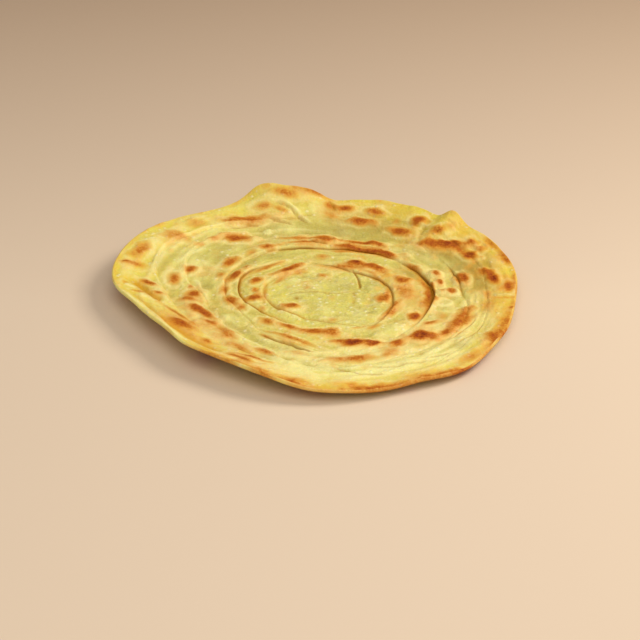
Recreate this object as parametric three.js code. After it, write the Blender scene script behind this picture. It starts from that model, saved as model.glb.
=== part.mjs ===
import * as THREE from "three";

// A layered flatbread: a rope of buttered dough coiled up and rolled flat, so that slits between
// the windings run round a heart that sits a little off the middle. Its edge curls up unevenly.
// Millimetres. It lies on z = 0, with its middle flat on the floor.

const middleThickness = 4.3;
const rimThickness = 1.8;
const flatShare = 0.5; // share of the radius that lies flat
const swell = 0.45; // how far a winding bulges between its slits
const heart = [6, 2.5]; // where the coil begins
const directions = 88; // facets round the bread

// The rim every 15 degrees, from +X towards +Y: how far out it is, and how far it is turned up.
const rimReach = [
  98.6, 102, 103.2, 99.2, 100.5, 98.5, 95.6, 99.4, 98.8, 103.2, 103.1, 103,
  99.2, 89.7, 84.9, 86.4, 87.5, 90.1, 94.8, 95.7, 96.8, 99.5, 98.5, 98.2,
];
const rimLift = [
  2.7, 6.5, 7.5, 7.8, 9.3, 8.5, 7, 8.7, 7.8, 9.3, 10.7, 9.4,
  8.9, 9.3, 9.8, 9.6, 9.3, 8.2, 3.5, 1.6, 2, 1.4, 1.5, 2.9,
];

// How late the edge turns up, every 30 degrees: the larger, the sharper the turn near the rim.
const curl = [1.7, 1.7, 1.8, 2, 1.7, 1.7, 2.1, 2.6, 2.6, 2, 1.7, 1.7];

// Where a piece of the edge stands clear of that sweep. Angles in degrees, sizes in millimetres.
const flaps = [
  { at: 99.3, before: 12.6, after: 10.6, reach: 2.9, lift: 8.1, power: 4 },
  { at: 109.6, before: 6.7, after: 6.9, reach: 3.5, lift: 0.2, power: 2 },
  { at: 44.7, before: 4.7, after: 3.4, reach: 2.6, lift: 5.1, power: 2 },
];

// Slits between the windings, at even steps round the heart: how far out each one runs, and how
// open it is. The outer winding stands higher than the inner one by the step.
const slits = [
  {
    radius: [20, 18, 17, 21, 27, 31.5, 31.5, 28.5, 27, 28.5, 27, 23],
    open: [0.2, 0.2, 0.3, 0.5, 0.8, 1, 1, 1, 0.9, 0.8, 0.5, 0.2],
    step: 0.5,
    depth: 0.4,
  },
  {
    radius: [32.3, 30.5, 27, 31, 41, 46, 43.5, 37, 35, 35.5, 36, 35.7],
    open: [1, 1, 0.8, 0.6, 0.7, 0.8, 0.8, 0.6, 0.4, 0.4, 0.6, 1],
    step: 1,
    depth: 1,
  },
  {
    radius: [52, 50.6, 50.4, 50.6, 55.7, 54.9, 50.5, 45.8, 51.5, 57.7, 54.3, 51.4],
    open: [1, 1, 1, 1, 0.9, 0.6, 0.6, 0.6, 0.9, 0.6, 0.3, 0.8],
    step: 1.5,
    depth: 1.4,
  },
  {
    radius: [
      65.4, 65.4, 66.4, 67.2, 66.5, 66.3, 66.5, 69, 73, 79.5, 80, 73,
      62, 59.3, 58.2, 58.8, 61, 70, 73, 72, 70.8, 71.5, 72.1, 70,
    ],
    open: [0.5, 0.4, 0.3, 0.3, 0.6, 0.7, 0.8, 0.9, 0.8, 0.3, 0.3, 0.7],
    step: 0.9,
    depth: 0.7,
  },
  {
    radius: [
      78.4, 79.2, 80, 80.5, 81, 82, 81, 78, 81.5, 88.8, 90.8, 88.5,
      79, 75, 72, 72, 72.5, 74, 76, 81, 85.5, 83.5, 81, 79.5,
    ],
    open: [0.5, 0.3, 0.3, 0.3, 0.5, 0.8, 0.8, 1, 1, 0.7, 0.5, 0.4],
    step: 0.8,
    depth: 1.1,
  },
];

// How far across a winding the lines of its upper face lie, from its inner slit to the next.
const heartLines = [0.3, 0.6, 0.85, 0.96];
const windingLines = [0, 0.06, 0.16, 0.35, 0.6, 0.82, 0.95];
const edgeLines = [0, 0.06, 0.16, 0.35, 0.6, 0.85];
const floorLines = [0.97, 0.88, 0.76, 0.64, 0.5, 0.25]; // shares of the rim's reach

const turn = 2 * Math.PI;

// A smooth closed curve through values given at even steps round the full turn.
function around(values, angle) {
  const count = values.length;
  const place = (((angle / turn) % 1) + 1) % 1 * count;
  const first = Math.floor(place) % count;
  const t = place - Math.floor(place);
  const a = values[(first + count - 1) % count];
  const b = values[first];
  const c = values[(first + 1) % count];
  const d = values[(first + 2) % count];
  return b + 0.5 * t * (c - a + t * (2 * a - 5 * b + 4 * c - d + t * (3 * (b - c) + d - a)));
}

function degreesBetween(angle, at) {
  const difference = (angle / turn) * 360 - at;
  return ((difference % 360) + 540) % 360 - 180;
}

// Reach and lift of the rim in one direction from the bread's middle.
function rimAt(angle) {
  let reach = around(rimReach, angle) + 0.5 * Math.sin(7 * angle + 1) + 0.35 * Math.sin(13 * angle);
  let lift = around(rimLift, angle) + 0.4 * Math.sin(9 * angle + 2);
  for (const flap of flaps) {
    const off = degreesBetween(angle, flap.at);
    const width = off < 0 ? flap.before : flap.after;
    const share = Math.exp(-Math.pow(Math.abs(off / width), flap.power));
    reach += flap.reach * share;
    lift += flap.lift * share;
  }
  return { reach, lift };
}

// How far the bread is bent up from the floor at a place, and how thick it is there.
function sheetAt(x, y) {
  const angle = Math.atan2(y, x);
  const rim = rimAt(angle);
  const share = Math.hypot(x, y) / rim.reach;
  const bent = Math.max(0, (share - flatShare) / (1 - flatShare));
  const rise = (rim.lift + middleThickness - rimThickness) * bent ** around(curl, angle);
  const thickness = middleThickness - (middleThickness - rimThickness) * Math.min(1, share) ** 2.6;
  return { rise, thickness };
}

// Height of the upper face's folds between two slits, u running from the inner to the outer one.
function foldHeight(inner, outer, angle, u) {
  let height = swell * Math.sin(Math.PI * u);
  if (inner) {
    const open = around(inner.open, angle);
    height += open * inner.step * (1 - u) ** 2 * (1 - Math.exp(-u / 0.03));
    height -= open * inner.depth * Math.exp(-((u / 0.035) ** 2));
  }
  if (outer) {
    const open = around(outer.open, angle);
    height -= open * outer.depth * Math.exp(-(((1 - u) / 0.22) ** 1.6));
  }
  return height;
}

function slitPoint(slit, angle) {
  const radius = around(slit.radius, angle);
  return [heart[0] + radius * Math.cos(angle), heart[1] + radius * Math.sin(angle)];
}

function mix(from, to, share) {
  return [from[0] + (to[0] - from[0]) * share, from[1] + (to[1] - from[1]) * share];
}

function topPoint(at, fold) {
  const sheet = sheetAt(at[0], at[1]);
  return [at[0], at[1], sheet.rise + sheet.thickness + fold];
}

// One spoke of the bread: over the upper face from the heart to the rim, round the edge, and
// back along the underside.
function spoke(angle) {
  const points = [];
  const last = slits.length - 1;
  const firstSlit = slitPoint(slits[0], angle);
  for (const u of heartLines) {
    points.push(topPoint(mix(heart, firstSlit, u), foldHeight(null, slits[0], angle, u)));
  }
  for (let k = 0; k < last; k += 1) {
    const from = slitPoint(slits[k], angle);
    const to = slitPoint(slits[k + 1], angle);
    for (const u of windingLines) {
      points.push(topPoint(mix(from, to, u), foldHeight(slits[k], slits[k + 1], angle, u)));
    }
  }
  const rim = rimAt(angle);
  const edge = [rim.reach * Math.cos(angle), rim.reach * Math.sin(angle)];
  const lastSlit = slitPoint(slits[last], angle);
  for (const u of edgeLines) {
    points.push(topPoint(mix(lastSlit, edge, u), foldHeight(slits[last], null, angle, u)));
  }
  const sheet = sheetAt(edge[0], edge[1]);
  const shy = mix([0, 0], edge, 0.992);
  points.push([shy[0], shy[1], sheet.rise + sheet.thickness]);
  points.push([edge[0], edge[1], sheet.rise + 0.55 * sheet.thickness]);
  for (const share of floorLines) {
    const at = mix([0, 0], edge, share);
    points.push([at[0], at[1], sheetAt(at[0], at[1]).rise]);
  }
  return points;
}

function breadGeometry() {
  const spokes = [];
  for (let i = 0; i < directions; i += 1) {
    spokes.push(spoke((turn * i) / directions));
  }
  const lines = spokes[0].length;
  const positions = [];
  for (const points of spokes) {
    for (const point of points) {
      positions.push(...point);
    }
  }
  const heartIndex = directions * lines;
  positions.push(...topPoint(heart, 0));
  const floorIndex = heartIndex + 1;
  positions.push(0, 0, 0);
  const faces = [];
  for (let i = 0; i < directions; i += 1) {
    const here = i * lines;
    const next = ((i + 1) % directions) * lines;
    faces.push(heartIndex, here, next);
    for (let j = 0; j < lines - 1; j += 1) {
      faces.push(here + j, here + j + 1, next + j + 1);
      faces.push(here + j, next + j + 1, next + j);
    }
    faces.push(floorIndex, next + lines - 1, here + lines - 1);
  }
  const geometry = new THREE.BufferGeometry();
  geometry.setAttribute("position", new THREE.Float32BufferAttribute(positions, 3));
  geometry.setIndex(faces);
  geometry.computeBoundingBox();
  const box = geometry.boundingBox;
  geometry.translate(-(box.min.x + box.max.x) / 2, -(box.min.y + box.max.y) / 2, 0);
  geometry.computeVertexNormals();
  return geometry;
}

const crust = new THREE.MeshStandardMaterial({ color: "#e2c868", roughness: 0.6, metalness: 0 });
crust.name = "flatbread_crust";

const bread = new THREE.Mesh(breadGeometry(), crust);
bread.name = "paratha";

const group = new THREE.Group();
group.name = "paratha_flatbread";
group.add(bread);

export default group;
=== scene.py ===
import math

import bpy
import numpy as np
from mathutils import Euler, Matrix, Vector


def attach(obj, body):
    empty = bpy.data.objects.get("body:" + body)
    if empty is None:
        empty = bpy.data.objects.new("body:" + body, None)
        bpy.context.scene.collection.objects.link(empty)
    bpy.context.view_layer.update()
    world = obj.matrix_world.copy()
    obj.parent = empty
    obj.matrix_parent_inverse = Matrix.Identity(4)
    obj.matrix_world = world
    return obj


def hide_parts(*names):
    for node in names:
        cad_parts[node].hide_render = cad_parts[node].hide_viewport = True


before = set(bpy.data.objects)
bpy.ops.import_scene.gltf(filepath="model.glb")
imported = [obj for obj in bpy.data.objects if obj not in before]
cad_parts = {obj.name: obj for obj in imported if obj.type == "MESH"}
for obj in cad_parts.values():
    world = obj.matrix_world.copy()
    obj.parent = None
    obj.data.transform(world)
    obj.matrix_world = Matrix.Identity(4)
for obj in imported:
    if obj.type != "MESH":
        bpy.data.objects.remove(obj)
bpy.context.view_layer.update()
mm = 0.001
print("frame loaded:", ", ".join(sorted(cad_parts)))


def hexLinear(code):
    # sRGB hex to linear: c / 12.92 below 0.04045, else ((c + 0.055) / 1.055) ** 2.4
    parts = [int(code[i:i + 2], 16) / 255 for i in (1, 3, 5)]
    return [c / 12.92 if c <= 0.04045 else ((c + 0.055) / 1.055) ** 2.4 for c in parts] + [1.0]


def addNode(tree, kind, settings=None):
    # one shader node with its settings and links: each key is a property or an input, and its value is a
    # number, an sRGB hex colour, a ramp's stops, or what feeds it, a socket or a node's first output
    node = tree.nodes.new("ShaderNode" + kind)
    for key, value in (settings or {}).items():
        if key == "stops":
            ramp = node.color_ramp.elements
            for i, (place, colour) in enumerate(value):
                stop = ramp[i] if i < 2 else ramp.new(place)
                stop.position = place
                stop.color = hexLinear(colour)
        elif isinstance(key, str) and hasattr(node, key):
            setattr(node, key, value)
        elif isinstance(value, bpy.types.Node):
            tree.links.new(value.outputs[0], node.inputs[key])
        elif isinstance(value, bpy.types.NodeSocket):
            tree.links.new(value, node.inputs[key])
        else:
            node.inputs[key].default_value = hexLinear(value) if isinstance(value, str) else value
    return node


def newMaterial(name):
    # a material with nothing in it yet, and the tree that its nodes go into
    material = bpy.data.materials.new(name)
    material.use_nodes = True
    material.node_tree.nodes.clear()
    return material, material.node_tree


def newObject(name, verts, faces):
    # a smooth-shaded mesh in an object of the same name, linked to the scene
    mesh = bpy.data.meshes.new(name)
    mesh.from_pydata(verts, [], faces)
    mesh.polygons.foreach_set("use_smooth", np.ones(len(mesh.polygons), bool))
    mesh.update()
    made = bpy.data.objects.new(name, mesh)
    bpy.context.scene.collection.objects.link(made)
    return made


def around(values, turn):
    # closed Catmull-Rom curve through values at even steps round the full turn
    steps = np.asarray(values, float)
    count = len(steps)
    place = (turn / (2 * math.pi) * count) % count
    first = np.floor(place).astype(int) % count
    t = place - np.floor(place)
    a, b, c, d = (steps[(first + shift) % count] for shift in (-1, 0, 1, 2))
    return b + 0.5 * t * (c - a + t * (2 * a - 5 * b + 4 * c - d + t * (3 * (b - c) + d - a)))


def smooth(low, high, x):
    # t * t * (3 - 2 * t) with t going from 0 at low to 1 at high
    t = np.clip((x - low) / (high - low), 0, 1)
    return t * t * (3 - 2 * t)


def bell(distance, half, power=2):
    # exp(-(distance / half) ** power)
    return np.exp(-(distance / half) ** power)


def taperedEnds(along, share):
    # 0 at both ends of a line and 1 between them, eased over that share of its length
    return smooth(0, share, along) * smooth(0, share, 1 - along)


noiseCells = 64  # random values each way before the noise repeats


def lattice(u, v, seed, wrap=noiseCells):
    # smooth noise from -1 to 1: random values at whole numbers, eased between, v going round after wrap
    table = np.random.default_rng(seed).uniform(-1, 1, (noiseCells, wrap))
    i, j = np.floor(u).astype(int), np.floor(v).astype(int)
    p, q = smooth(0, 1, u - i), smooth(0, 1, v - j)
    before, after, below, above = i % noiseCells, (i + 1) % noiseCells, j % wrap, (j + 1) % wrap
    low = table[before, below] * (1 - p) + table[after, below] * p
    high = table[before, above] * (1 - p) + table[after, above] * p
    return low * (1 - q) + high * q


def alongLine(x, y, points):
    # nearest distance to a broken line, the side it is on (+1 left, -1 right) and the share along it
    line = np.asarray(points, float)
    lengths = np.hypot(*np.diff(line, axis=0).T)
    reached = np.concatenate([[0], np.cumsum(lengths)]) / lengths.sum()
    near = np.full(x.shape, np.inf)
    side = np.zeros(x.shape)
    share = np.zeros(x.shape)
    for k, length in enumerate(lengths):
        (ax, ay), (bx, by) = line[k], line[k + 1]
        ux, uy = (bx - ax) / length, (by - ay) / length
        s = np.clip((x - ax) * ux + (y - ay) * uy, 0, length)
        dx, dy = x - ax - s * ux, y - ay - s * uy
        away = np.hypot(dx, dy)
        closer = away < near
        near = np.where(closer, away, near)
        side = np.where(closer, np.sign(ux * (y - ay) - uy * (x - ax)), side)
        share = np.where(closer, reached[k] + s / length * (reached[k + 1] - reached[k]), share)
    return near, side, share


def gridMesh(name, points, top, bottom):
    # spokes x lines grid of points, closed by a fan at each end: the top point first, the bottom point last
    spokes, lines = points.shape[:2]
    verts = np.concatenate([points.reshape(-1, 3), [top, bottom]])
    here = np.arange(spokes)[:, None] * lines
    after = np.roll(here, -1, axis=0)
    step = np.arange(lines - 1)[None, :]
    quads = np.stack([here + step, here + step + 1, after + step + 1, after + step], -1).reshape(-1, 4)
    topIndex, bottomIndex = spokes * lines, spokes * lines + 1
    fanTop = np.stack([np.full(spokes, topIndex), here[:, 0], after[:, 0]], -1)
    last = lines - 1
    fanBottom = np.stack([np.full(spokes, bottomIndex), after[:, 0] + last, here[:, 0] + last], -1)
    return newObject(name, verts.tolist(), quads.tolist() + fanTop.tolist() + fanBottom.tolist())


def putAttribute(piece, name, values):
    # one number from 0 to 1 for each point of the mesh, which its material reads by name
    layer = piece.data.attributes.new(name, "FLOAT", "POINT")
    layer.data.foreach_set("value", np.clip(values, 0, 1).astype(np.float32).ravel())


# the bread, in millimetres, with angles in degrees from +X towards +Y; every list of 12 or 24 numbers here
# goes round it in even steps from +X
breadForm = {
    "heart": (6.0, 2.5),  # where the coil begins, off the middle
    "middleThickness": 4.3,
    "rimThickness": 1.8,
    "thinning": 2.6,  # how late on the way out it gets thin
    "thinnest": 0.6,
    "flatShare": 0.5,  # share of the radius that lies flat
    "swell": 0.45,  # bulge of a winding between its slits
    "fullness": 0.8,  # below 1 the bulge is flat on top
    # how far out the rim is, and how far it is turned up
    "rimReach": (98.6, 102, 103.2, 99.2, 100.5, 98.5, 95.6, 99.4, 98.8, 103.2, 103.1, 103,
                 99.2, 89.7, 84.9, 86.4, 87.5, 90.1, 94.8, 95.7, 96.8, 99.5, 98.5, 98.2),
    "rimLift": (2.7, 6.5, 7.5, 7.8, 9.3, 8.5, 7, 8.7, 7.8, 9.3, 10.7, 9.4,
                8.9, 9.3, 9.8, 9.6, 9.3, 8.2, 3.5, 1.6, 2, 1.4, 1.5, 2.9),
    # small waves on both: how far out, how far up, how many go round and their start in radians
    "waves": ((0.5, 0, 7, 1), (0.35, 0, 13, 0), (0, 0.4, 9, 2)),
    "curl": (1.7, 1.7, 1.8, 2, 1.7, 1.7, 2.1, 2.6, 2.6, 2, 1.7, 1.7),  # how late the edge turns up
    # pieces of the edge that stand clear: where, spread to either side, further out, further up, squareness
    "flaps": ((99.3, 12.6, 10.6, 2.9, 8.1, 4), (109.6, 6.7, 6.9, 3.5, 0.2, 2), (44.7, 4.7, 3.4, 2.6, 5.1, 2)),
    "edgeGroove": 0.14,  # depth of the grooves where its layers part, as a share of half the edge
    "edgeWaves": 6,  # how many waves of them a whole turn of the edge's bend would have
    "edgeComes": (0.6, 0.4, 23),  # their usual depth, how much it comes and goes, and how often round
    "rimRelief": 0.35,  # share of the relief that is left at the rim
    "rimReliefReach": (1.0, 0.94),  # shares of the way out where that is all and where it is full again
    "unevenReach": (0.6, 1.0),  # and where the lifted edge begins to be uneven and is so in full
    "smoothHeart": (8, 26),  # distances from the heart between which the wrinkles come in
}

# lines of the mesh, from the heart outwards, round the edge and back under to the middle
breadMesh = {"spokes": 460, "heartLines": 20, "windingLines": 34, "edgeLines": 8, "floorLines": 18}

# slits between the windings, from the heart outwards: how far from the heart, how open each is cut, how much
# of the step up to the outer winding is left where it is closed, how wide the gap and the bank behind it are,
# the step, the depth, how far the windings overhang it, and the seed of its wandering
slits = (
    {"radius": (20, 18, 17, 21, 27, 31.5, 31.5, 28.5, 27, 28.5, 27, 23),
     "open": (*[0] * 8, 0.1, 0.15, 0.2, 0.25, 0.3, 0.5, 0.9, 1, 1, 0.9, 0.5, 0.15, 0, 0, 0, 0),
     "soft": (*[0] * 7, 0.3, 0.6, 1, 1, 1, 1, 1, 1, 1, 1, 0.5, 0.2, 0, 0, 0, 0, 0),
     "gap": (0.6, 0.6), "bank": (0.5, 0.5), "step": 0.5, "depth": 0.6, "under": 0.25, "seed": 5},
    {"radius": (31.3, 30.3, 27, 31, 41, 46, 43.5, 37, 35, 35.5, 36, 34.8),
     "open": (0.75, 0.8, 0.8, 0.8, 0.7, 0.6, 0.5, 0.15, 0, 0.4, 0.9, 1.1,
              1.1, 1.1, 0.9, 0.6, 0.1, 0, 0, 0, 0, 0, 0.35, 0.65),
     "soft": (1, 1, 1, 1, 1, 0.8, 0.6, 0.4, 0.4, 0.6, 0.9, 1,
              1, 1, 1, 1, 0.5, 0.3, 0.2, 0.2, 0.4, 0.8, 1, 1),
     "gap": (0.6, 0.5, 0.4, 0.4, 0.4, 0.45, 0.5, 0.5, 0.5, 0.5, 0.5, 0.6),
     "bank": (0.5, 0.9, 1.2, 1, 0.7, 0.5, 0.5, 0.5, 0.5, 0.5, 0.5, 0.5),
     "step": 0.7, "depth": 0.6, "under": 0.35, "seed": 7},
    {"radius": (52, 50.6, 50.4, 50.6, 55.7, 54.9, 50.5, 45.8, 51.5, 57.7, 54.3, 51.4),
     "open": (1, 1, 0.75, 0.1, 0.7, 0.9, 0.5, 0.85, 0.3, 0.1, 0.15, 0.3,
              0.2, 0.1, 0.1, 0.1, 0, 0, 0, 0, 0, 0, 0.6, 1),
     "soft": (1, 1, 1, 1, 1, 1, 1, 1, 0.8, 0.6, 0.5, 0.5,
              0.5, 0.4, 0.3, 0.2, 0.1, 0, 0, 0.1, 0.2, 0.5, 1, 1),
     "gap": (1.5, 0.7, 0.5, 0.5, 0.5, 0.5, 0.5, 0.5, 0.5, 0.5, 0.6, 0.8),
     "bank": (0.5, 1.2, 3.5, 2, 0.7, 0.5, 0.5, 0.5, 0.5, 0.5, 0.5, 0.5),
     "step": 1.4, "depth": 1.3, "under": 0.8, "seed": 14},
    {"radius": (66.4, 65.5, 66.4, 67.2, 66.5, 66.3, 66.5, 69, 73, 79.5, 80, 73,
                62, 59.3, 58.2, 58.8, 61, 70, 73, 72, 70.8, 71.5, 72.1, 70),
     "open": (0.25, 0.8, -0.2, *[0] * 20, -0.3),
     "soft": (0.6, 0.7, 0.15, 0.3, 0.4, 0.4, 0.5, 0.7, 0.9, 1, 1, 0.9,
              0.9, 1, 1, 1, 0.9, 0.7, 0.5, 0.4, 0.4, 0.4, 0.3, 0.2),
     "gap": (0.35, 0.35), "bank": (0.6, 0.6), "step": 0.8, "depth": 0.6, "under": 0.3, "seed": 8},
    {"radius": (78.4, 79.2, 80, 80.5, 81, 82, 81, 78, 81.5, 88.8, 90.8, 88.5,
                79, 75, 72, 72, 72.5, 74, 76, 81, 85.5, 83.5, 81, 79.5),
     "open": (*[0] * 7, 0.3, *[0] * 16),
     "soft": (0.2, 0.2, 0.25, 0.4, 0.4, 0.4, 0.4, 0.6, 1, 1, 1, 0.9, 0.6, *[0.4] * 9, 0.3, 0.25),
     "gap": (0.6, 0.6), "bank": (0.6, 0.6), "step": 1.1, "depth": 0.7, "under": 0.2, "seed": 11},
)

# single folds: the line, its depth, the step up on its left side (minus for its right), half its width,
# and how far butter pooled in it has turned it amber
folds = (
    # the heart's own curl, and the seam where it joins the first winding
    (((16, 29), (18.5, 27.5), (20.5, 21.5), (21.5, 17), (22, 12.5), (21, 8)), 1.1, -0.7, 0.6, 0),
    (((20.5, 7), (19, 2.5), (18.5, -4), (19, -10)), 0.5, 0.2, 0.8, 0),
    (((-6, 5), (0, 5), (5, 4), (10, 3.5), (15, 4), (20, 7)), 0.7, -0.3, 0.5, 0),
    (((-1.5, 5), (-6, 4.5), (-9, 3), (-9.5, -1), (-7.5, -4.5)), 0.7, 0.3, 0.5, 0),
    (((-7.5, -20.5), (0, -24.5), (6.5, -26.5), (15, -29.5), (21.5, -30.5), (27.5, -29.5), (32.5, -24.5),
      (35.5, -17.5)), 0.6, -0.5, 0.6, 0),
    # valleys inside the turned-up left edge
    (((-93.5, 9.5), (-90.5, 8), (-87, 5), (-84, 0.5), (-81.5, -2.5), (-78, -6.5), (-75, -12)),
     1.3, -0.8, 2.0, 1.2),
    (((-85, 2.5), (-82.5, -1.5), (-80, -5.5), (-77, -8.5), (-74.5, -12)), 0.6, 0.3, 0.45, 0),
    (((-93, -2.5), (-87.5, -10), (-84, -16), (-79, -23), (-74, -33), (-70.5, -40), (-66, -46), (-60, -51),
      (-54, -57)), 0.9, -0.4, 1.1, 0.7),
    (((-79, -22.5), (-74.5, -30), (-69, -38), (-64, -44), (-59, -50), (-54, -54), (-48.5, -58.5),
      (-41.5, -65)), 1.3, -0.6, 2.4, 1),
    (((-75, -13), (-69.5, -18.5), (-65, -23.5), (-59.5, -29)), 0.4, 0.6, 0.5, 0),
    # in front the inner winding lies over the outer, and a fold runs beside the left edge
    (((-28, -37), (-23.5, -40.5), (-18, -44.5), (-11, -48), (-7.5, -51.5), (-3.5, -54), (2, -55)),
     0.9, 0.8, 0.4, 0),
    (((-38.5, -50.5), (-34, -56.5), (-28.5, -62.5), (-23, -68.5)), 0.4, -0.5, 0.7, 0),
    # the back flap, and the groove behind the winding beside it
    (((-22, 88.5), (-18.5, 87.5), (-14.5, 86), (-10, 80), (-7, 77), (-2.5, 73.5)), 0.5, 0.5, 0.45, 0),
    (((-26, 77.5), (-23, 77), (-20.5, 76), (-16.5, 75), (-11, 72.5)), 0.5, 0.7, 0.4, 0),
    (((-46.5, 68), (-41.5, 69.5), (-36.5, 71.5), (-31, 73), (-27, 74)), 0.5, 0.5, 0.6, 0),
    (((7, 94), (9.5, 89), (10.5, 84)), 0.7, 0.5, 0.8, 0),
    # the tongue that ends behind the deepest slit, and the pleat at the back right
    (((-5, 60.5), (-2, 59), (2.5, 57), (7.5, 56.5)), 0.9, 0.6, 0.45, 0),
    (((50, 51), (53, 56), (54, 62), (57, 68), (62, 75)), 0.35, 0.7, 1.1, 0),
    # wrinkles in front
    (((78, -23), (74.5, -30), (70, -36.5), (66, -41.5), (61, -46)), 0.6, 0.3, 0.45, 0),
    (((81, -29), (77, -36), (72, -43), (65, -50)), 0.4, 0.3, 0.5, 0),
    (((63.5, -57), (57.5, -59.5), (51, -62.5)), 0.4, 0.2, 0.6, 0),
    (((6, -70), (11, -72), (16, -75), (20.5, -77.5), (25, -78.5), (34, -78.5)), 0.5, -0.2, 0.7, 0),
    (((20, -70), (33, -71), (46, -68), (57, -62)), 0.35, 0.2, 0.8, 0),
)

# raised ridges with a painted highlight along them: the line, height, half width and strength of that painted
# highlight
ridges = (
    # the lip of the turned-up left edge, the swellings beside its valley, and the ridge inside it
    (((-96, -4), (-91.5, -12), (-86, -20.5), (-80, -29), (-74.5, -38), (-69, -47), (-63, -55.5),
      (-56.5, -63)), 0.7, 1.4, 1.5),
    (((-95, 2.5), (-91, 1), (-87, -0.5)), 0.5, 1.6, 1.2),
    (((-85.5, -7.5), (-81, -9.2), (-76.5, -11)), 0.6, 1.7, 1.3),
    (((-91, 14), (-86, 12.5), (-81, 9), (-77, 3.5), (-74, -3.5), (-70.5, -10), (-66, -15)),
     0.7, 1.5, 0.9),
    # crests of the left windings, with painted highlights
    (((-83, 21.5), (-81, 29), (-78.5, 34.5), (-76, 41)), 0.7, 1.4, 1.0),
    (((-70.5, 30), (-67.5, 35), (-64, 42), (-59, 48), (-56, 51)), 0.7, 1.2, 1.0),
    (((-61.5, 20), (-58.5, 15), (-57, 8.5), (-54, 0.5), (-51.5, -5)), 0.6, 1.0, 1.0),
    (((-67.5, 15), (-66, 11), (-66, 7)), 0.5, 0.9, 0.9),
    # the back flap and the winding beside it
    (((-28.5, 90.5), (-24, 90), (-19.5, 89), (-14, 87.5), (-9, 81.5), (-6, 78), (-1, 74.5)),
     0.9, 0.9, 1.2),
    (((-23, 77.5), (-19.5, 77), (-14.5, 76.5)), 0.4, 0.7, 0.8),
    (((-49, 69), (-43.5, 71), (-37.5, 73), (-31, 75), (-27, 76)), 0.5, 1.0, 1.1),
    # the tongue's tip, the swellings in front and the crease at the right edge
    (((13, 56), (21, 55.3), (28, 53), (36, 48)), 0.4, 0.7, 0.5),
    (((-1, 64.5), (2.5, 66), (6.5, 66.5), (9.5, 63.5), (11, 58.5), (9.5, 55.5)), 0.7, 1.0, 1.0),
    (((-22, -57), (-17.5, -64), (-13, -69), (-6, -76), (-1.5, -83), (4, -88)), 0.8, 2.6, 1.3),
    (((3, -86), (13.5, -82), (27, -78), (41, -70.5), (53, -62), (60, -55)), 0.4, 2.2, 1.0),
    (((-8, -52.5), (-1, -54.5), (8, -55)), 0.4, 1.6, 1.1),
    (((48, -58), (56, -53), (62.5, -47.5), (68, -42)), 0.5, 2.2, 1.0),
    (((83, -2.5), (88, -3.2), (94, -3.5), (105, -2.5)), 1.2, 0.8, 1.8),
)

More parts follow.
